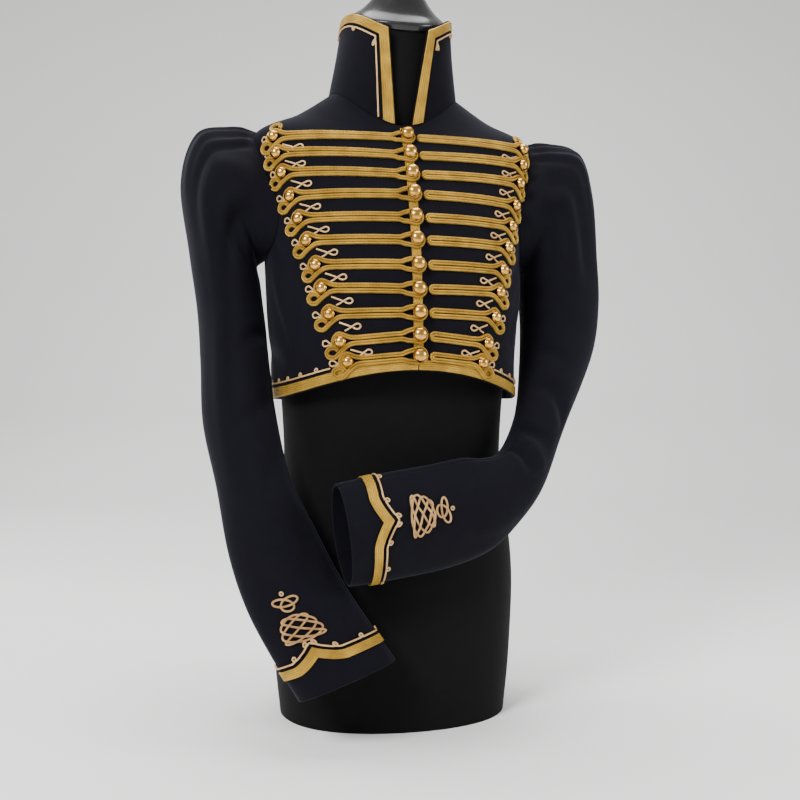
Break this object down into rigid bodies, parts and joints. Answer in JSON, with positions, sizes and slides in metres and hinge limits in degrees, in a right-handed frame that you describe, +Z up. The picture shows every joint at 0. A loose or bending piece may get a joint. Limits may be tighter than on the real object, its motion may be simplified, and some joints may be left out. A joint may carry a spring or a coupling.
{
  "type": "braided jacket on a dress form",
  "caption": "Fitted dark wool jacket with a high open stand collar, gold cord frogging, laced edges and gathered sleeve heads, on a limbless black dress form.",
  "frame": {"origin": "middle of the dress form's flat base, which it stands on", "axes": "+Z up, -Y to the front of the jacket, +X to the wearer's left"},
  "size_m": [0.4859, 0.2908, 0.8414],
  "materials": {
    "navy_wool": "napped wool cloth, dark navy",
    "black_jersey": "smooth jersey, black",
    "black_gloss": "glossy black lacquer",
    "gold_braid": "metallic gold braid",
    "gold_metal": "polished gold domes"
  },
  "bodies": {
    "root": {"form_body": "black_jersey", "form_cap": "black_gloss", "front_left": "navy_wool", "front_right": "navy_wool", "back": "navy_wool", "collar": "navy_wool", "collar_lace": "gold_braid", "hem_lace": "gold_braid", "front_lace": "gold_braid", "sleeve_left_top": "navy_wool", "sleeve_left_under": "navy_wool", "sleeve_right_top": "navy_wool", "sleeve_right_under": "navy_wool", "cuff_lace_left": "gold_braid", "cuff_lace_right": "gold_braid", "knot_left": "gold_braid", "knot_right": "gold_braid", "trefoil_left": "gold_braid", "trefoil_right": "gold_braid", "frog_left_01": "gold_braid", "frog_left_02": "gold_braid", "frog_left_03": "gold_braid", "frog_left_04": "gold_braid", "frog_left_05": "gold_braid", "frog_left_06": "gold_braid", "frog_left_07": "gold_braid", "frog_left_08": "gold_braid", "frog_left_09": "gold_braid", "frog_left_10": "gold_braid", "frog_left_11": "gold_braid", "frog_right_01": "gold_braid", "frog_right_02": "gold_braid", "frog_right_03": "gold_braid", "frog_right_04": "gold_braid", "frog_right_05": "gold_braid", "frog_right_06": "gold_braid", "frog_right_07": "gold_braid", "frog_right_08": "gold_braid", "frog_right_09": "gold_braid", "frog_right_10": "gold_braid", "frog_right_11": "gold_braid", "button_01": "gold_metal", "button_02": "gold_metal", "button_03": "gold_metal", "button_04": "gold_metal", "button_05": "gold_metal", "button_06": "gold_metal", "button_07": "gold_metal", "button_08": "gold_metal", "button_09": "gold_metal", "button_10": "gold_metal", "button_11": "gold_metal"}
  },
  "joints": []
}
